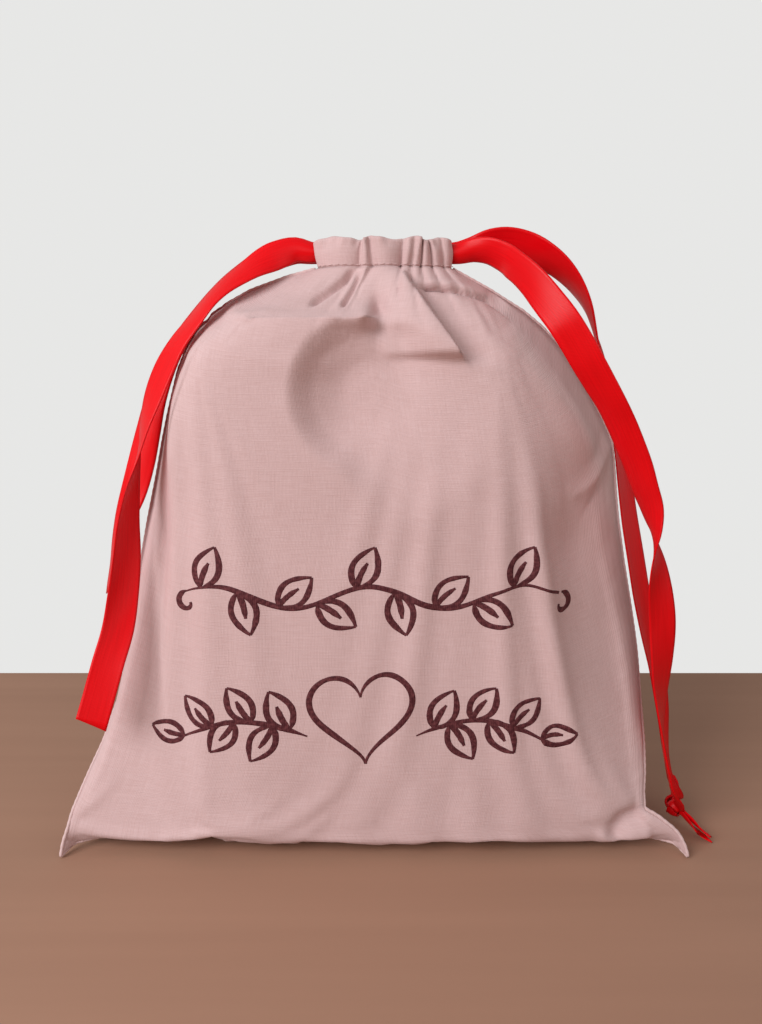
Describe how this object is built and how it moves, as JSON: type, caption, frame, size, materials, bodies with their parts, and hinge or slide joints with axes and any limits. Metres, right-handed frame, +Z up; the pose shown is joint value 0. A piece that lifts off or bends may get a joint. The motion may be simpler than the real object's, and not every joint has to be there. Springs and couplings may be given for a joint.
{
  "type": "drawstring gift sack",
  "caption": "Plain cotton drawstring gift sack, gathered at the neck by satin ribbons and standing round a boxed gift.",
  "frame": {"origin": "on the table, under the middle of the sack without its free ribbons", "axes": "+Z up, the front with the painted motif faces -Y, +X to the right seen from the front"},
  "size_m": [0.2082, 0.0618, 0.2001],
  "materials": {
    "cotton": "dusty pink plain-weave cotton, matt",
    "seam_thread": "overlocked cotton seam allowance",
    "satin_ribbon": "bright red single-face satin ribbon with a soft sheen",
    "carton": "plain paperboard",
    "label_tape": "white satin tape, folded",
    "fabric_paint": "dark burgundy fabric paint, brushed"
  },
  "bodies": {
    "sack": {"front_panel": "cotton", "back_panel": "cotton", "left_side_seam": "seam_thread", "right_side_seam": "seam_thread", "bottom_seam": "seam_thread", "front_casing": "cotton", "back_casing": "cotton", "left_ribbon_run": "satin_ribbon", "right_ribbon_run": "satin_ribbon", "boxed_gift": "carton"},
    "left_drawstring": {"left_ribbon_exit": "satin_ribbon"},
    "left_tails": {"left_ribbon_front_strand": "satin_ribbon", "left_ribbon_back_strand": "satin_ribbon"},
    "right_drawstring": {"right_ribbon_exit": "satin_ribbon"},
    "right_tails": {"right_ribbon_front_strand": "satin_ribbon", "right_ribbon_back_strand": "satin_ribbon", "right_ribbon_knot": "satin_ribbon", "right_ribbon_tails": "satin_ribbon"},
    "label": {"care_label": "label_tape"}
  },
  "joints": [
    {"name": "left_pull", "type": "slide", "parent": "sack", "child": "left_drawstring", "axis": [-1, 0, 0], "range_m": [0, 0.0045]},
    {"name": "left_swing", "type": "hinge", "parent": "left_drawstring", "child": "left_tails", "pos_m": [-0.0245, 0, 0.1904], "axis": [0, 1, 0], "range_deg": [0, 50]},
    {"name": "right_pull", "type": "slide", "parent": "sack", "child": "right_drawstring", "axis": [1, 0, 0], "range_m": [0, 0.0045]},
    {"name": "right_swing", "type": "hinge", "parent": "right_drawstring", "child": "right_tails", "pos_m": [0.0305, 0, 0.1904], "axis": [0, -1, 0], "range_deg": [0, 50]},
    {"name": "label_flip", "type": "hinge", "parent": "sack", "child": "label", "pos_m": [0.0376, 0.0054, 0.1864], "axis": [0.9135, 0, -0.4067], "range_deg": [-70, 0]}
  ]
}
